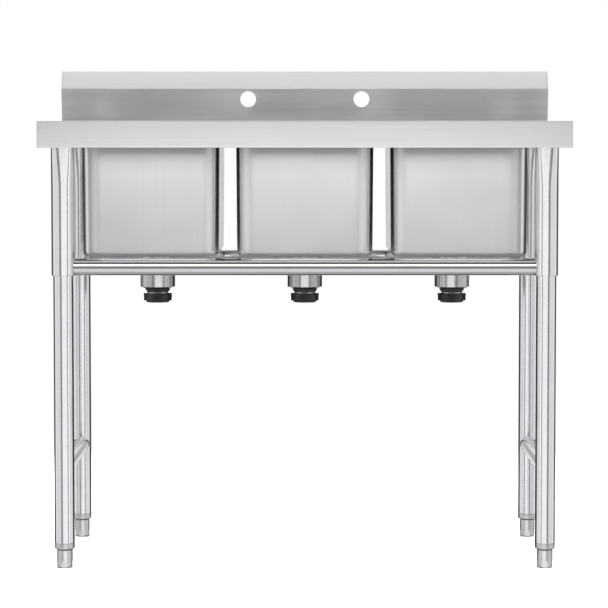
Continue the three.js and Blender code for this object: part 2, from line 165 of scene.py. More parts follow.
def rectangle_ring(x0, x1, y0, y1, radius, z, steps=10):
    """A ring in the shape of a rectangle with round corners."""
    corners = [(x1, y1, radius), (x0, y1, radius), (x0, y0, radius), (x1, y0, radius)]
    return [(p.x, p.y, z) for p in rounded(corners, steps)]


def turned(profile, count=64):
    """The rings of a piece turned on a lathe, from its outline of (radius, z) points."""
    return [circle_ring(radius, z, count) for radius, z in profile]


def threaded(radius, depth, pitch, z0, z1, count=36):
    """The rings of a screw thread."""
    rows = int((z1 - z0) / pitch * 6)
    rings = []
    for row in range(rows + 1):
        z = z0 + (z1 - z0) * row / rows
        ring = []
        for i in range(count):
            angle = 2 * math.pi * i / count
            phase = (z / pitch + i / count) % 1
            reach = radius - depth * abs(2 * phase - 1)
            ring.append((reach * math.cos(angle), reach * math.sin(angle), z))
        rings.append(ring)
    return rings


# Meshes


def skin(rings, closed=False):
    """A mesh over a row of rings. A closed one runs from the last ring back to the first, as a tube's wall
    does, and an open one has a cap on each end."""
    count = len(rings[0])
    points = [tuple(MM * v for v in point) for ring in rings for point in ring]
    faces = []
    for i in range(len(rings) if closed else len(rings) - 1):
        a = i * count
        b = (i + 1) % len(rings) * count
        faces += [(a + j, a + (j + 1) % count, b + (j + 1) % count, b + j) for j in range(count)]
    if not closed:
        faces.append(tuple(reversed(range(count))))
        faces.append(tuple(range(len(points) - count, len(points))))
    mesh = bpy.data.meshes.new("skin")
    mesh.from_pydata(points, [], faces)
    mesh.update()
    return mesh


def facing_out(mesh):
    """Turns the faces of a closed mesh outwards."""
    work = bmesh.new()
    work.from_mesh(mesh)
    bmesh.ops.recalc_face_normals(work, faces=work.faces)
    work.to_mesh(mesh)
    work.free()
    return mesh


def extruded(outline, x0, x1):
    """An outline of (y, z) points drawn out along X."""
    return skin([[(x, p[0], p[1]) for p in outline] for x in (x0, x1)])


def block(x0, x1, y0, y1, z0, z1):
    return extruded([(y0, z0), (y1, z0), (y1, z1), (y0, z1)], x0, x1)


def moved(mesh, x=0, y=0, z=0, turn=None):
    if turn:
        mesh.transform(Matrix.Rotation(math.radians(turn[0]), 4, turn[1]))
    mesh.transform(Matrix.Translation(Vector((x, y, z)) * MM))
    return mesh


def merged(meshes):
    """Several meshes as one."""
    work = bmesh.new()
    for mesh in meshes:
        work.from_mesh(mesh)
    whole = bpy.data.meshes.new("merged")
    work.to_mesh(whole)
    work.free()
    return whole


def combine(mesh, tool, operation):
    """mesh joined with, or cut by, the closed mesh tool."""
    base = bpy.data.objects.new("base", facing_out(mesh))
    other = bpy.data.objects.new("other", facing_out(tool))
    for thing in (base, other):
        bpy.context.scene.collection.objects.link(thing)
    change = base.modifiers.new("combine", "BOOLEAN")
    change.operation = operation
    change.solver = "EXACT"
    change.object = other
    bpy.context.view_layer.update()
    result = bpy.data.meshes.new_from_object(base.evaluated_get(bpy.context.evaluated_depsgraph_get()))
    for thing in (base, other):
        bpy.data.objects.remove(thing)
    return result


def cut(mesh, tool):
    return combine(mesh, tool, "DIFFERENCE")


def join(mesh, tool):
    return combine(mesh, tool, "UNION")


def piece(name, mesh, look, body, replaces, at=(0, 0, 0), crease=35):
    """A finished piece: the mesh with smooth bends, its material, and the body that it rides on."""
    facing_out(mesh)
    mesh.name = name
    mesh.materials.clear()
    mesh.materials.append(look)
    mesh.shade_smooth()
    mesh.set_sharp_from_angle(angle=math.radians(crease))
    made = bpy.data.objects.new(name, mesh)
    bpy.context.scene.collection.objects.link(made)
    made.location = Vector(at) * MM
    weighted = made.modifiers.new("even_normals", "WEIGHTED_NORMAL")
    weighted.keep_sharp = True
    weighted.weight = 80
    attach(made, body)
    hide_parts(*replaces)
    return made


def box_of(node):
    """The lowest and highest corner of a CAD node, in millimetres."""
    low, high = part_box(node)
    return low / MM, high / MM


def axis_of(node):
    """The x and y of the middle of a CAD node."""
    low, high = box_of(node)
    return (low.x + high.x) / 2, (low.y + high.y) / 2


# Materials


class Graph:
    """The nodes of a material or a world, and the sums made with them."""

    def __init__(self, owner):
        owner.use_nodes = True
        self.nodes = owner.node_tree.nodes
        self.links = owner.node_tree.links

    def maths(self, operation, a, b=0):
        step = self.nodes.new("ShaderNodeMath")
        step.operation = operation
        for socket, value in zip(step.inputs, (a, b)):
            if isinstance(value, (int, float)):
                socket.default_value = value
            else:
                self.links.new(value, socket)
        return step.outputs[0]


class Look(Graph):
    """A material built up from nodes, round one Principled shader."""

    def __init__(self, name, metallic, ior=1.5):
        self.material = bpy.data.materials.new(name)
        super().__init__(self.material)
        self.shader = self.nodes["Principled BSDF"]
        self.shader.inputs["Metallic"].default_value = metallic
        self.shader.inputs["IOR"].default_value = ior
        self.place = self.nodes.new("ShaderNodeTexCoord").outputs["Object"]

    def set(self, socket, source):
        self.links.new(source, self.shader.inputs[socket])

    def noise(self, per_metre, detail=3, roughness=0.55):
        """Noise with its own number of cells per metre along X, Y and Z."""
        stretch = self.nodes.new("ShaderNodeMapping")
        stretch.inputs["Scale"].default_value = per_metre
        self.links.new(self.place, stretch.inputs["Vector"])
        texture = self.nodes.new("ShaderNodeTexNoise")
        texture.inputs["Scale"].default_value = 1
        texture.inputs["Detail"].default_value = detail
        texture.inputs["Roughness"].default_value = roughness
        self.links.new(stretch.outputs["Vector"], texture.inputs["Vector"])
        return texture.outputs["Fac"]

    def scaled(self, source, low, high, start=0.3, end=0.7):
        """A number that runs from low to high as source runs from start to end."""
        ramp = self.nodes.new("ShaderNodeMapRange")
        for socket, value in (("From Min", start), ("From Max", end), ("To Min", low), ("To Max", high)):
            ramp.inputs[socket].default_value = value
        self.links.new(source, ramp.inputs["Value"])
        return ramp.outputs["Result"]

    def blend(self, source, dark, light):
        """The colour between dark and light that source, from 0 to 1, gives."""
        mix = self.nodes.new("ShaderNodeMix")
        mix.data_type = "RGBA"
        mix.inputs["A"].default_value = (*dark, 1)
        mix.inputs["B"].default_value = (*light, 1)
        self.links.new(source, mix.inputs["Factor"])
        return mix.outputs["Result"]

    def bump(self, height, distance):
        """Relief from a height between 0 and 1, where 1 stands distance metres proud."""
        relief = self.nodes.new("ShaderNodeBump")
        relief.inputs["Strength"].default_value = 1
        relief.inputs["Distance"].default_value = distance
        self.links.new(height, relief.inputs["Height"])
        self.set("Normal", relief.outputs["Normal"])

    def facing_sideways(self):
        """1 where the surface faces along X, and 0 elsewhere."""
        normal = self.nodes.new("ShaderNodeNewGeometry").outputs["True Normal"]
        parts = self.nodes.new("ShaderNodeSeparateXYZ")
        self.links.new(normal, parts.inputs[0])
        size = self.maths("ABSOLUTE", parts.outputs["X"])
        return self.maths("GREATER_THAN", size, 0.8)

    def bent(self):
        """0 on walls that face the front or the rear, and 1 where they have turned towards the sides."""
        normal = self.nodes.new("ShaderNodeNewGeometry").outputs["Normal"]
        parts = self.nodes.new("ShaderNodeSeparateXYZ")
        self.links.new(normal, parts.inputs[0])
        return self.scaled(self.maths("ABSOLUTE", parts.outputs["X"]), 0, 1, 0.6, 0.8)

    def choose(self, mask, a, b):
        """a where mask is 0, and b where it is 1."""
        kept = self.maths("MULTIPLY", a, self.maths("SUBTRACT", 1, mask))
        return self.maths("ADD", kept, self.maths("MULTIPLY", b, mask))


def brushed_sheet():
    """Sheet with a fine grain along its length: along X, and along Y on the two sides."""
    look = Look("brushed_sheet", 1)
    side = look.facing_sideways()
    grain = look.choose(side, look.noise((3, 420, 420)), look.noise((420, 3, 420)))
    fine = look.choose(side, look.noise((12, 2600, 2600)), look.noise((2600, 12, 2600)))
    clouds = look.noise((7, 9, 9), detail=4)
    streaks = look.maths("ADD", look.maths("MULTIPLY", grain, 0.6), look.maths("MULTIPLY", fine, 0.4))
    look.set("Base Color", look.blend(look.scaled(streaks, 0, 1), (0.70, 0.70, 0.71), (0.80, 0.80, 0.805)))
    worn = look.maths("ADD", look.scaled(clouds, -0.03, 0.03), look.scaled(streaks, 0.28, 0.38))
    look.set("Roughness", worn)
    look.bump(streaks, 0.00004)
    return look.material


def drawn_steel():
    """Sheet pressed deep: satin on the flat walls, burnished where the die bent it, with faint upright draw
    lines and soft clouds."""
    look = Look("drawn_steel", 1)
    lines = look.noise((420, 420, 3), detail=2)
    clouds = look.noise((6, 6, 10), detail=4)
    tone = look.maths("ADD", look.maths("MULTIPLY", lines, 0.35), look.maths("MULTIPLY", clouds, 0.65))
    look.set("Base Color", look.blend(look.scaled(tone, 0, 1), (0.76, 0.76, 0.77), (0.82, 0.82, 0.83)))
    satin = look.scaled(tone, 0.44, 0.5)
    bright = look.scaled(tone, 0.2, 0.24)
    look.set("Roughness", look.choose(look.bent(), satin, bright))
    look.bump(lines, 0.000001)
    return look.material


def polished_tube(axis, polish, grain):
    """Tube polished round and round, so that its grain runs round the axis."""
    look = Look(f"polished_tube_{axis}", 1)
    per_metre = {"x": (900, 10, 10), "y": (10, 900, 10), "z": (10, 10, 900)}[axis]
    rings = look.noise(per_metre, detail=3)
    clouds = look.noise((25, 25, 25), detail=4)
    tone = look.maths("ADD", look.maths("MULTIPLY", rings, 0.5), look.maths("MULTIPLY", clouds, 0.5))
    look.set("Base Color", look.blend(look.scaled(tone, 0, 1), (0.69, 0.69, 0.705), (0.75, 0.75, 0.765)))
    look.set("Roughness", look.scaled(tone, polish - 0.01, polish + 0.01))
    look.shader.inputs["Anisotropic"].default_value = grain
    look.shader.inputs["Anisotropic Rotation"].default_value = 0.25
    tangent = look.nodes.new("ShaderNodeTangent")
    tangent.direction_type = "RADIAL"
    tangent.axis = axis.upper()
    look.set("Tangent", tangent.outputs["Tangent"])
    look.bump(rings, 0.0000005)
    return look.material


def turned_steel():
    """Steel turned on a lathe about Z."""
    look = Look("turned_steel", 1)
    rings = look.noise((6, 6, 1300), detail=3)
    clouds = look.noise((40, 40, 40), detail=4)
    tone = look.maths("ADD", look.maths("MULTIPLY", rings, 0.6), look.maths("MULTIPLY", clouds, 0.4))
    look.set("Base Color", look.blend(look.scaled(tone, 0, 1), (0.44, 0.44, 0.45), (0.53, 0.53, 0.54)))
    look.set("Roughness", look.scaled(tone, 0.2, 0.3))
    look.bump(rings, 0.00003)
    return look.material


def satin_foot():
    """The duller, finely blasted steel of the feet and collars."""
    look = Look("satin_foot", 1)
    grit = look.noise((1500, 1500, 1500), detail=2)
    clouds = look.noise((60, 60, 60), detail=4)
    tone = look.maths("ADD", look.maths("MULTIPLY", grit, 0.4), look.maths("MULTIPLY", clouds, 0.6))
    look.set("Base Color", look.blend(look.scaled(tone, 0, 1), (0.52, 0.52, 0.53), (0.62, 0.62, 0.63)))
    look.set("Roughness", look.scaled(tone, 0.3, 0.42))
    look.bump(grit, 0.00003)
    return look.material


def thread_steel():
    """Bare fastener steel, darker in patches."""
    look = Look("thread_steel", 1)
    clouds = look.noise((180, 180, 180), detail=5)
    look.set("Base Color", look.blend(look.scaled(clouds, 0, 1), (0.36, 0.36, 0.37), (0.60, 0.60, 0.61)))
    look.set("Roughness", look.scaled(clouds, 0.45, 0.28))
    look.bump(clouds, 0.00005)
    return look.material


def mill_steel():
    """The dull sheet of the channels under the deck, as it comes from the mill."""
    look = Look("mill_steel", 1)
    grain = look.noise((300, 5, 300), detail=3)
    spangle = look.noise((90, 90, 90), detail=5)
    tone = look.maths("ADD", look.maths("MULTIPLY", grain, 0.4), look.maths("MULTIPLY", spangle, 0.6))
    look.set("Base Color", look.blend(look.scaled(tone, 0, 1), (0.44, 0.445, 0.45), (0.62, 0.625, 0.63)))
    look.set("Roughness", look.scaled(tone, 0.42, 0.58))
    look.bump(spangle, 0.00006)
    return look.material


def moulded_plastic():
    """Black moulded plastic with a fine spark-eroded texture and rubbed high spots."""
    look = Look("moulded_plastic", 0, ior=1.46)
    grit = look.noise((1100, 1100, 1100), detail=3)
    rubs = look.noise((90, 90, 220), detail=5)
    share = look.scaled(rubs, 0, 1, 0.35, 0.75)
    look.set("Base Color", look.blend(share, (0.008, 0.008, 0.009), (0.026, 0.026, 0.027)))
    look.set("Roughness", look.scaled(rubs, 0.36, 0.55))
    look.bump(grit, 0.00008)
    return look.material


def moulded_rubber():
    """Dull black rubber with a bloom of grey."""
    look = Look("moulded_rubber", 0)
    bloom = look.noise((120, 120, 120), detail=5)
    grit = look.noise((1400, 1400, 1400), detail=2)
    look.set("Base Color", look.blend(look.scaled(bloom, 0, 1), (0.012, 0.012, 0.012), (0.04, 0.04, 0.041)))
    look.set("Roughness", look.scaled(bloom, 0.68, 0.85))
    look.bump(grit, 0.00006)
    return look.material


# The deck


def deck_ring(inset, z, roof, low, high):
    """The deck's outline, moved in by inset. The raised rim ends at the foot of the backsplash, behind which
    nothing stands higher than roof."""
    rear = min(inset, 5 + inset / 10) if z > DECK_FLOOR - 2 * SHEET else inset
    back = high.y - rear
    ring = rectangle_ring(low.x + inset, high.x - inset, low.y + inset, back, max(3 - inset, 0.8), z, 4)
    step = min(high.y - SPLASH_FOOT - 2, back - 2)
    left = [(low.x + inset, y, z) for y in (step + 0.5, step)]
    right = [(high.x - inset, y, z) for y in (step, step + 0.5)]
    ring = ring[:10] + left + ring[10:] + right
    return [(x, y, min(z, roof) if y > step else z) for x, y, z in ring]


def deck_sheet(looks):
    low, high = box_of("deck_panel")
    hem = low.z
    crest = RIM_WIDTH
    toe = RIM_WIDTH + RIM_SLOPE
    under = rounded(
        [
            (toe + 20, DECK_FLOOR - SHEET, 0),
            (toe - SHEET, DECK_FLOOR - SHEET, 3),
            (crest - SHEET, DECK_TOP - SHEET, 3),
            (SHEET, DECK_TOP - SHEET, 1),
            (SHEET, hem + SHEET, 0.5),
            (HEM_WIDTH, hem + SHEET, 0),
        ]
    )
    outer = rounded(
        [
            (HEM_WIDTH, hem, 0),
            (0, hem, 1.8),
            (0, DECK_TOP, 1.4),
            (crest, DECK_TOP, 4),
            (toe, DECK_FLOOR, 4.5),
            (toe + 20, DECK_FLOOR, 0),
        ]
    )
    rings = [deck_ring(inset, z, DECK_FLOOR - SHEET, low, high) for inset, z in under]
    rings += [deck_ring(inset, z, DECK_FLOOR, low, high) for inset, z in outer]
    sheet = skin(rings)
    for place in PLACES:
        tool = skin([bowl_ring(place, -BOWL_LIP, z) for z in (DECK_FLOOR - 9, DECK_FLOOR + 9)])
        sheet = cut(sheet, tool)
    piece("deck_sheet", sheet, looks["sheet"], "frame", ["deck_panel"])


# The backsplash


def thickened(chain, thickness):
    """The closed outline of a folded sheet: a chain of points, and the same chain moved to its left."""
    offset = []
    for i, point in enumerate(chain):
        before = chain[max(i - 1, 0)]
        after = chain[min(i + 1, len(chain) - 1)]
        along = (after - before).normalized()
        offset.append(point + Vector((-along.y, along.x)) * thickness)
    return chain + offset[::-1]


def backsplash_sheet(looks):
    low, high = box_of("backsplash_panel")
    foot = low.z
    line = rounded(
        [
            (high.y, high.z - SPLASH_RETURN, 0),
            (high.y, high.z, 0.8),
            (high.y - SPLASH_LEAN, SPLASH_BEND_Z, 2.5),
            (high.y - SPLASH_FOOT, foot, 3),
            (high.y - SHEET, foot, 0),
        ]
    )
    sheet = extruded(thickened(line, SHEET), low.x, high.x)
    for side in (-1, 1):
        drill = skin(turned([(FAUCET_HOLE / 2, -25), (FAUCET_HOLE / 2, 25)]))
        moved(drill, turn=(90, "X"))
        moved(drill, side * FAUCET_SPACING / 2, high.y - 16, FAUCET_Z)
        sheet = cut(sheet, drill)
    piece("backsplash_sheet", sheet, looks["sheet"], "frame", ["backsplash_panel"])


# The bowls


def bowl_ring(place, inset, z, corner=BOWL_CORNER):
    """The bowl's outline, moved in by inset, with its corners keeping their centres."""
    low, high = box_of(f"bowl_{place}")
    lip = BOWL_LIP + inset
    return rectangle_ring(low.x + lip, high.x - lip, low.y + lip, high.y - lip, corner - inset, z, 12)


def drain_ring(place, radius, z):
    """A circle round the drain, each point straight in from a point of the bowl's outline."""
    x, y = axis_of(f"drain_body_{place}")
    ring = []
    for px, py, _ in bowl_ring(place, BOWL_FLOOR_RADIUS, z):
        angle = math.atan2(py - y, px - x)
        ring.append((x + radius * math.cos(angle), y + radius * math.sin(angle), z))
    return ring


def bowl_shell(place, looks):
    """A pressed bowl whose floor falls to its drain, with a rounded lip set flush into the deck."""
    bottom = box_of(f"bowl_{place}")[0].z
    edge = bottom + BOWL_FALL
    floor_start = BOWL_FLOOR_RADIUS + 12
    wall = [
        (floor_start, edge, 0),
        (BOWL_DRAFT, edge, BOWL_FLOOR_RADIUS),
        (0, DECK_FLOOR - SHEET, 3.5),
        (-BOWL_LIP + SEAM, DECK_FLOOR - SHEET, 0),
        (-BOWL_LIP + SEAM, DECK_FLOOR, 0.3),
        (SHEET, DECK_FLOOR, 5),
        (BOWL_DRAFT + SHEET, edge + SHEET, BOWL_FLOOR_RADIUS - SHEET),
        (floor_start, edge + SHEET, 0),
    ]
    rings = [drain_ring(place, DRAIN_HOLE, bottom), drain_ring(place, BOWL_DISH, bottom)]
    rings += [bowl_ring(place, inset, z) for inset, z in rounded(wall, 8)]
    rings += [drain_ring(place, radius, bottom + SHEET) for radius in (BOWL_DISH, DRAIN_HOLE)]
    shell = skin(rings, closed=True)
    piece(f"bowl_shell_{place}", shell, looks["bowl"], "frame", [f"bowl_{place}"])


# The legs


def sleeve_ring(radius, power, z, count=96):
    """A section between a circle, of power 2, and a square with round corners, of higher powers."""
    ring = []
    for i in range(count):
        c = math.cos(2 * math.pi * i / count)
        s = math.sin(2 * math.pi * i / count)
        reach = radius / (abs(c) ** power + abs(s) ** power) ** (1 / power)
        ring.append((reach * c, reach * s, z))
    return ring


def sleeve_tube(leg, looks):
    low, high = box_of(f"leg_sleeve_{leg}")
    radius = (high.x - low.x) / 2
    inner = radius - SLEEVE_WALL
    start = high.z - SLEEVE_FLARE
    rings = [sleeve_ring(radius - 0.5, 2, low.z), sleeve_ring(radius, 2, low.z + 0.5)]
    for step in range(21):
        share = step / 20
        power = 2 + (SLEEVE_SQUARENESS - 2) * share**1.6
        rings.append(sleeve_ring(radius, power, start + SLEEVE_FLARE * share))
    rings += [sleeve_ring(inner, 2, high.z), sleeve_ring(inner, 2, low.z)]
    drill = skin(turned([(GRUB_HOLE, 0), (GRUB_HOLE, 2 * radius)], 32))
    moved(drill, turn=(-90, "X"))
    moved(drill, z=GRUB_Z)
    tube = cut(skin(rings, closed=True), drill)
    x, y = axis_of(f"lower_leg_{leg}")
    name = f"leg_sleeve_{leg}"
    piece(f"sleeve_tube_{leg}", tube, looks["tube_z"], "frame", [name], (x, y, 0))


def leg_tube(leg, looks):
    low, high = box_of(f"lower_leg_{leg}")
    radius = (high.x - low.x) / 2
    profile = rounded(
        [
            (radius, low.z, 0.4),
            (radius, high.z, 0.4),
            (radius - TUBE_WALL, high.z, 0.3),
            (radius - TUBE_WALL, low.z, 0.3),
        ],
        2,
    )
    x, y = axis_of(f"lower_leg_{leg}")
    tube = skin(turned(profile, 96), closed=True)
    piece(f"leg_tube_{leg}", tube, looks["tube_z"], "frame", [f"lower_leg_{leg}"], (x, y, 0))


def coped_tube(length, radius, post, setback=0, count=96):
    """A tube along X, its ends shaped to fit round upright posts, whose axes it passes at the setback."""
    half = length / 2
    rings = []
    for reach in (radius, radius - TUBE_WALL):
        ends = []
        for side in (-1, 1):
            ring = []
            for i in range(count):
                angle = 2 * math.pi * i / count
                y = reach * math.cos(angle)
                z = reach * math.sin(angle)
                ring.append((side * (half - math.sqrt(post**2 - (y + setback) ** 2)), y, z))
            ends.append(ring)
        rings += ends if reach == radius else ends[::-1]
    return skin(rings, closed=True)


def cross_rail(name, leg, looks):
    low, high = box_of(name)
    x, y = axis_of(name)
    sleeve_low, sleeve_high = box_of(f"leg_sleeve_{leg}")
    post_x, post_y = axis_of(f"leg_sleeve_{leg}")
    post = (sleeve_high.x - sleeve_low.x) / 2 + SEAM
    tube = coped_tube(2 * abs(post_x), (high.z - low.z) / 2, post, y - post_y)
    at = (x, y, (low.z + high.z) / 2)
    piece(f"{name}_tube", tube, looks["tube_x"], "frame", [name], at)


def side_stretcher(side, looks):
    name = f"side_stretcher_{side}"
    low, high = box_of(name)
    x, y = axis_of(name)
    front = axis_of(f"lower_leg_front_{side}")[1]
    rear = axis_of(f"lower_leg_rear_{side}")[1]
    leg_low, leg_high = box_of(f"lower_leg_front_{side}")
    tube = coped_tube(rear - front, (high.z - low.z) / 2, (leg_high.x - leg_low.x) / 2 + SEAM)
    moved(tube, turn=(90, "Z"))
    at = (x, y, (low.z + high.z) / 2)
    piece(f"stretcher_tube_{side}", tube, looks["tube_y"], "frame", [name], at)


# The feet


def collar(leg, looks):
    low, high = box_of(f"tube_insert_{leg}")
    radius = (high.x - low.x) / 2
    shoulder = box_of(f"lower_leg_{leg}")[0].z - SEAM
    profile = rounded(
        [
            (STUD_HOLE, low.z, 0.5),
            (radius, low.z, 3),
            (radius, shoulder, 0.5),
            (radius - TUBE_WALL - SEAM, shoulder, 0.2),
            (radius - TUBE_WALL - SEAM, high.z, 0.5),
            (STUD_HOLE, high.z, 0.3),
        ]
    )
    x, y = axis_of(f"tube_insert_{leg}")
    ring = skin(turned(profile, 96), closed=True)
    piece(f"collar_{leg}", ring, looks["foot"], "frame", [f"tube_insert_{leg}"], (x, y, 0))


def foot_stud(leg, looks):
    low, high = box_of(f"foot_stud_{leg}")
    radius = (high.x - low.x) / 2
    rings = threaded(radius, 0.9, 1.75, low.z, high.z - 1)
    rings.append(circle_ring(radius - 1.4, high.z, 36))
    x, y = axis_of(f"foot_stud_{leg}")
    stud = skin(rings)
    body = f"levelling_foot_{leg}"
    piece(f"threaded_stud_{leg}", stud, looks["thread"], body, [f"foot_stud_{leg}"], (x, y, 0), 25)


def levelling_foot(leg, looks):
    """A turned foot with four U-shaped spanner notches round its bottom edge."""
    low, high = box_of(f"foot_{leg}")
    radius = (high.x - low.x) / 2
    profile = rounded(
        [
            (1, 0, 0),
            (radius, 0, 4),
            (radius, high.z, 1),
            (STUD_HOLE, high.z, 0.3),
            (STUD_HOLE, 12, 0),
            (1, 12, 0),
        ],
        6,
    )
    shape = skin(turned(profile, 96))
    half = NOTCH_WIDTH / 2
    outline = rounded([(-half, -5, 0), (half, -5, 0), (half, NOTCH_TOP, 4), (-half, NOTCH_TOP, 4)], 6)
    for turn in (0, 90, 180, 270):
        tool = skin([[(p.x, y, p.y) for p in outline] for y in (-2 * radius, -NOTCH_OFFSET)])
        shape = cut(shape, moved(tool, turn=(turn, "Z")))
    x, y = axis_of(f"foot_{leg}")
    body = f"levelling_foot_{leg}"
    piece(f"levelling_foot_{leg}_turned", shape, looks["foot"], body, [f"foot_{leg}"], (x, y, 0))


# The drains


def drain_body(place, looks):
    """A cup with a flange that stands in the bowl's floor, and a spigot below it with a cross in its
    mouth."""
    name = f"drain_body_{place}"
    low, high = box_of(name)
    flange = (high.x - low.x) / 2
    seat = high.z - 2.5
    inner = BODY_RADIUS - SHEET
    profile = rounded(
        [
            (SPIGOT_BORE, low.z, 0.4),
            (SPIGOT_RADIUS, low.z, 0.4),
            (SPIGOT_RADIUS, BODY_FLOOR, 1),
            (BODY_RADIUS, BODY_FLOOR, 2),
            (BODY_RADIUS, seat, 1),
            (flange, seat, 0.4),
            (flange, seat + 1, 0.6),
            (flange - 4, high.z, 3),
            (inner + 3.5, high.z, 2.5),
            (inner, high.z - 3.5, 2),
            (inner, BODY_FLOOR + SHEET, 2),
            (SPIGOT_BORE, BODY_FLOOR + SHEET, 0.5),
        ]
    )
    shell = skin(turned(profile, 80), closed=True)
    reach = SPIGOT_BORE + 0.6
    for turn in (0, 90):
        bar = block(-reach, reach, -1.2, 1.2, BODY_FLOOR + 0.1, BODY_FLOOR + SHEET - 0.1)
        shell = join(shell, moved(bar, turn=(turn, "Z")))
    x, y = axis_of(name)
    piece(f"{name}_turned", shell, looks["cup"], "frame", [name], (x, y, 0))


def drain_cup(place, looks):
    name = f"drain_cup_{place}"
    low, high = box_of(name)
    outer = (high.x - low.x) / 2
    radius = outer - CUP_FLANGE
    bevel = low.z + CUP_BEVEL
    profile = rounded(
        [
            (SPIGOT_HOLE, low.z, 0.3),
            (CUP_BEVEL_RADIUS, low.z, 0.6),
            (radius, bevel, 0.8),
            (radius, high.z - SHEET, 0.6),
            (outer, high.z - SHEET, 0.4),
            (outer, high.z, 0.4),
            (radius - SHEET, high.z, 1),
            (radius - SHEET, bevel + 1, 1),
            (CUP_BEVEL_RADIUS, low.z + SHEET, 0.5),
            (SPIGOT_HOLE, low.z + SHEET, 0.3),
        ]
    )
    x, y = axis_of(name)
    cup = skin(turned(profile, 96), closed=True)
    piece(f"{name}_turned", cup, looks["cup"], "frame", [name], (x, y, 0))


def drain_locknut(place, looks):
    """A tapered nut that holds the cup up from below."""
    name = f"drain_locknut_{place}"
    low, high = box_of(name)
    radius = (high.x - low.x) / 2
    profile = rounded(
        [
            (SPIGOT_HOLE, low.z, 0.1),
            (CONE_RADIUS, low.z, 0.2),
            (radius, high.z - 1.2, 0.5),
            (radius, high.z, 0.3),
            (SPIGOT_HOLE, high.z, 0.2),
        ],
        3,
    )
    x, y = axis_of(name)
    nut = skin(turned(profile, 72), closed=True)
    piece(f"{name}_turned", nut, looks["nut"], "frame", [name], (x, y, 0))


def outlet_nut(place, looks):
    """A slip nut with two grip lugs."""
    name = f"outlet_nut_{place}"
    low, high = box_of(name)
    reach = max(high.x - low.x, high.y - low.y) / 2
    lip = low.z + 2.8
    profile = rounded(
        [
            (NUT_MOUTH, low.z, 0.5),
            (NUT_RADIUS, low.z, 2.5),
            (NUT_RADIUS, high.z, 1),
            (SPIGOT_HOLE, high.z, 0.5),
            (SPIGOT_HOLE, lip, 0.5),
            (NUT_MOUTH, lip, 0.5),
        ]
    )
    nut = skin(turned(profile, 96), closed=True)
    root = NUT_RADIUS - 1.5
    lug = rounded(
        [
            (root, low.z + 3, 0),
            (reach - 0.5, low.z + 3.5, 1),
            (reach, high.z - 0.5, 1),
            (root, high.z - 0.5, 0),
        ],
        4,
    )
    for turn in (90, -90):
        nut = join(nut, moved(extruded([(p.x, p.y) for p in lug], -3, 3), turn=(turn, "Z")))
    x, y = axis_of(f"drain_body_{place}")
    piece(f"{name}_moulded", nut, looks["nut"], f"nut_{place}", [name], (x, y, 0))


def basket_drills():
    """Three rings of small holes through the basket's floor."""
    drills = []
    for reach, count in ((8, 6), (13.5, 12), (19, 16)):
        for i in range(count):
            angle = 2 * math.pi * i / count
            drill = skin(turned([(1.5, BASKET_FLOOR - 1), (1.5, BASKET_FLOOR + 2)], 14))
            drills.append(moved(drill, reach * math.cos(angle), reach * math.sin(angle)))
    return merged(drills)


def strainer_basket(place, looks):
    """A perforated cup with a post and a knob to lift it by."""
    name = f"strainer_basket_{place}"
    low, high = box_of(name)
    rim = box_of(f"drain_body_{place}")[1].z - 2.6
    wall = rounded(
        [
            (2.5, BASKET_FLOOR, 0),
            (BASKET_RADIUS, BASKET_FLOOR, 4),
            (BASKET_RADIUS, rim, 0.4),
            (BASKET_RADIUS - 1, rim, 0.4),
            (BASKET_RADIUS - 1, BASKET_FLOOR + 1, 3.2),
            (2.5, BASKET_FLOOR + 1, 0),
        ]
    )
    cup = cut(skin(turned(wall, 72), closed=True), basket_drills())
    post = rounded(
        [
            (0.5, low.z, 0),
            (POST_RADIUS + 3, low.z, 0.5),
            (POST_RADIUS + 3, low.z + 2, 0.5),
            (POST_RADIUS, low.z + 2, 0),
            (POST_RADIUS, high.z - 9, 1),
            (KNOB_RADIUS, high.z - 6, 1.5),
            (KNOB_RADIUS, high.z, 2.5),
            (0.5, high.z, 0),
        ],
        4,
    )
    x, y = axis_of(name)
    whole = join(cup, skin(turned(post, 40)))
    piece(f"{name}_pressed", whole, looks["cup"], f"basket_{place}", [name], (x, y, 0))


# CAD nodes that stay


def keep(node, look):
    """Leaves a CAD node showing, with a real material and softened edges."""
    kept = bpy.data.objects[node]
    kept.data.materials.clear()
    kept.data.materials.append(look)
    soften = kept.modifiers.new("soften", "BEVEL")
    soften.width = 0.3 * MM
    soften.segments = 2
    soften.limit_method = "ANGLE"
    soften.angle_limit = math.radians(30)


# The studio


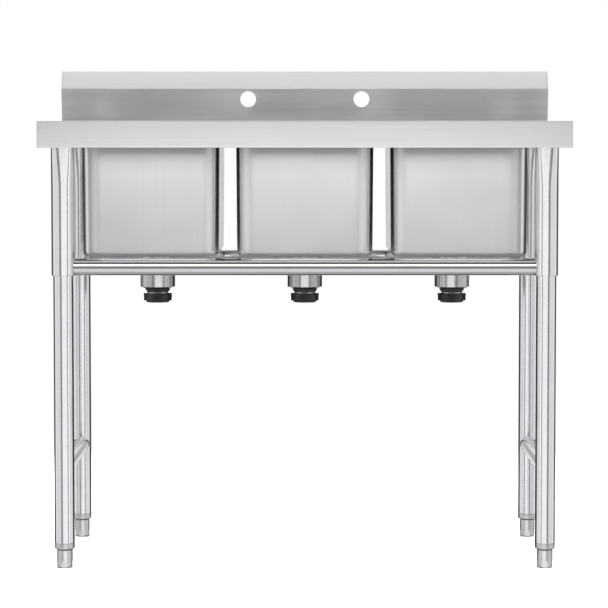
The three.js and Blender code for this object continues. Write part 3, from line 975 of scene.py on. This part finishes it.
class Sky(Graph):
    """A world whose brightness follows the direction that is looked in."""

    def __init__(self, name):
        world = bpy.data.worlds.new(name)
        bpy.context.scene.world = world
        super().__init__(world)
        self.nodes.clear()
        parts = self.nodes.new("ShaderNodeSeparateXYZ")
        self.links.new(self.nodes.new("ShaderNodeTexCoord").outputs["Generated"], parts.inputs[0])
        side = self.maths("ABSOLUTE", parts.outputs["X"])
        front = self.maths("MULTIPLY", parts.outputs["Y"], -1)
        self.turn = self.maths("DEGREES", self.maths("ARCTAN2", side, front))
        self.height = self.maths("DEGREES", self.maths("ARCSINE", parts.outputs["Z"]))

    def levels(self, angle, low, high, stops):
        """A brightness that follows an angle between low and high, from (degrees, brightness) stops."""
        made = self.nodes.new("ShaderNodeValToRGB")
        band = made.color_ramp
        for _ in stops[2:]:
            band.elements.new(0.5)
        for element, (degrees, level) in zip(band.elements, stops):
            element.position = (degrees - low) / (high - low)
            element.color = (level, level, level * 1.02, 1)
        self.links.new(self.maths("DIVIDE", self.maths("SUBTRACT", angle, low), high - low), made.inputs[0])
        return made.outputs[0]

    def mix(self, share, a, b):
        made = self.nodes.new("ShaderNodeMix")
        made.data_type = "RGBA"
        self.links.new(share, made.inputs["Factor"])
        self.links.new(a, made.inputs["A"])
        self.links.new(b, made.inputs["B"])
        return made.outputs["Result"]

    def show(self, reflected):
        """White to the camera, and the given brightness to everything else."""
        choice = self.nodes.new("ShaderNodeMixShader")
        self.links.new(self.nodes.new("ShaderNodeLightPath").outputs["Is Camera Ray"], choice.inputs["Fac"])
        for socket, colour in ((choice.inputs[1], reflected), (choice.inputs[2], None)):
            glow = self.nodes.new("ShaderNodeBackground")
            glow.inputs["Color"].default_value = (1, 1, 1, 1)
            if colour:
                self.links.new(colour, glow.inputs["Color"])
            self.links.new(glow.outputs[0], socket)
        self.links.new(choice.outputs[0], self.nodes.new("ShaderNodeOutputWorld").inputs["Surface"])


def studio_world():
    """White all round for the camera. What the steel reflects is a studio: a dim room behind the camera, pale
    walls to the left and right, dark corners, a white backdrop, and a floor that is brightest in front."""
    sky = Sky("studio")
    walls = [(0, 0.28), (56, 0.28), (60, 0.92), (88, 0.92), (92, 1.1), (104, 1.1), (112, 0.5), (124, 0.04)]
    walls += [(168, 0.04), (174, 1.1), (180, 1.15)]
    around = sky.levels(sky.turn, 0, 180, walls)
    ceiling = sky.levels(sky.turn, 0, 180, [(0, 0.06), (50, 0.06), (75, 0.7), (180, 0.7)])
    floor = sky.levels(sky.turn, 0, 180, [(0, 0.9), (70, 0.9), (110, 0.3), (180, 0.1)])
    below = sky.levels(sky.height, -90, 90, [(-90, 0.5), (-60, 0.5)])
    high = sky.levels(sky.height, -90, 90, [(48, 0), (54, 1)])
    low = sky.levels(sky.height, -90, 90, [(-26, 1), (-20, 0)])
    steep = sky.levels(sky.height, -90, 90, [(-78, 1), (-60, 0)])
    sky.show(sky.mix(low, sky.mix(high, around, ceiling), sky.mix(steep, floor, below)))


def softbox(name, size, place, aim, radiance, in_reflections=True):
    """A rectangular lamp whose surface has the given radiance."""
    lamp = bpy.data.lights.new(name, "AREA")
    lamp.shape = "RECTANGLE"
    lamp.size, lamp.size_y = size
    lamp.energy = radiance * math.pi * size[0] * size[1]
    thing = bpy.data.objects.new(name, lamp)
    bpy.context.scene.collection.objects.link(thing)
    thing.location = place
    thing.rotation_euler = (Vector(aim) - Vector(place)).to_track_quat("-Z", "Y").to_euler()
    thing.visible_camera = False
    thing.visible_glossy = in_reflections
    return thing


def light_only(lamp, starts):
    """Lets a lamp reach only the pieces whose names have one of the given starts."""
    group = bpy.data.collections.new(f"{lamp.name}_reaches")
    for thing in bpy.data.objects:
        if thing.name.startswith(starts):
            group.objects.link(thing)
    lamp.light_linking.receiver_collection = group


def studio_lamps():
    """Two lamps over the sink, a panel on each side, and five panels in front, each of which lights only
    some kinds of piece."""
    softbox("overhead", (2.4, 1.45), (0, -0.125, LAMP_HEIGHT), (0, -0.125, 0), 1.15)
    above = (0, -0.2, LAMP_HEIGHT + 0.3)
    softbox("floor_light", (2.6, 2.6), above, (0, -0.2, 0), 14, in_reflections=False)
    for name, x in (("left_panel", -1.9), ("right_panel", 1.9)):
        softbox(name, (1.25, 2.6), (x, PANEL_Y, 0.7), (x, 0, 0.7), 0.64)
    panels = (
        ("bowl_panel", 1.5, 1.0, 3.1, ("bowl_", "stretcher", "sleeve", "strainer")),
        ("splash_panel", 1.18, 0.54, 2.6, ("backsplash", "front_rail")),
        ("apron_panel", 0.02, 1.64, 1.25, ("deck_sheet",)),
        ("leg_panel", 0.02, 1.64, 0.93, ("sleeve", "leg_tube", "collar")),
        ("drain_panel", 0.02, 1.64, 1.35, ("drain_cup", "levelling")),
    )
    for name, middle, height, radiance, starts in panels:
        panel = softbox(name, (PANEL_WIDTH, height), (0, PANEL_Y, middle), (0, 0, middle), radiance)
        light_only(panel, starts)


def studio_floor():
    """A pale sheet of paper under the sink that fades into the white round it."""
    sheet = skin([circle_ring(PAPER_RADIUS / MM, z, 96) for z in (0, -1)])
    floor = bpy.data.objects.new("floor", facing_out(sheet))
    bpy.context.scene.collection.objects.link(floor)
    look = Look("paper", 0)
    look.shader.inputs["Roughness"].default_value = 0.9
    tooth = look.noise((900, 900, 900), detail=2)
    look.set("Base Color", look.blend(look.scaled(tooth, 0, 1), (0.90, 0.90, 0.90), (0.92, 0.92, 0.92)))
    look.bump(tooth, 0.00005)
    length = look.nodes.new("ShaderNodeVectorMath")
    length.operation = "LENGTH"
    look.links.new(look.place, length.inputs[0])
    look.set("Alpha", look.scaled(length.outputs["Value"], 1, 0, *PAPER_FADE))
    floor.data.materials.append(look.material)
    floor.visible_glossy = False


def studio_camera():
    """A view from far in front, at the height of the deck's apron, tipped down a little."""
    lens = bpy.data.cameras.new("camera")
    lens.lens = LENS
    lens.sensor_width = 36
    lens.shift_x = -0.0013
    lens.shift_y = -0.06
    lens.clip_start = 0.1
    lens.clip_end = 100
    camera = bpy.data.objects.new("camera", lens)
    bpy.context.scene.collection.objects.link(camera)
    camera.location = CAMERA_PLACE
    camera.rotation_euler = (math.radians(90 - CAMERA_TILT), 0, 0)
    bpy.context.scene.camera = camera


def build():
    looks = {
        "sheet": brushed_sheet(),
        "bowl": drawn_steel(),
        "tube_x": polished_tube("x", 0.13, 0),
        "tube_y": polished_tube("y", 0.16, 0),
        "tube_z": polished_tube("z", 0.18, 0.5),
        "cup": turned_steel(),
        "foot": satin_foot(),
        "thread": thread_steel(),
        "channel": mill_steel(),
        "nut": moulded_plastic(),
        "rubber": moulded_rubber(),
    }
    deck_sheet(looks)
    backsplash_sheet(looks)
    for side in ("left", "right"):
        keep(f"backsplash_end_{side}", looks["sheet"])
        keep(f"side_channel_{side}", looks["channel"])
        side_stretcher(side, looks)
    cross_rail("front_rail", "front_left", looks)
    cross_rail("rear_rail", "rear_left", looks)
    for leg in LEGS:
        sleeve_tube(leg, looks)
        leg_tube(leg, looks)
        collar(leg, looks)
        foot_stud(leg, looks)
        levelling_foot(leg, looks)
        keep(f"grub_screw_{leg}", looks["thread"])
    for place in PLACES:
        bowl_shell(place, looks)
        drain_body(place, looks)
        drain_cup(place, looks)
        drain_locknut(place, looks)
        outlet_nut(place, looks)
        strainer_basket(place, looks)
        keep(f"drain_gasket_{place}", looks["rubber"])
        keep(f"basket_stopper_{place}", looks["rubber"])


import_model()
bpy.context.scene.view_settings.view_transform = "Standard"
studio_world()
studio_floor()
studio_camera()
build()
studio_lamps()
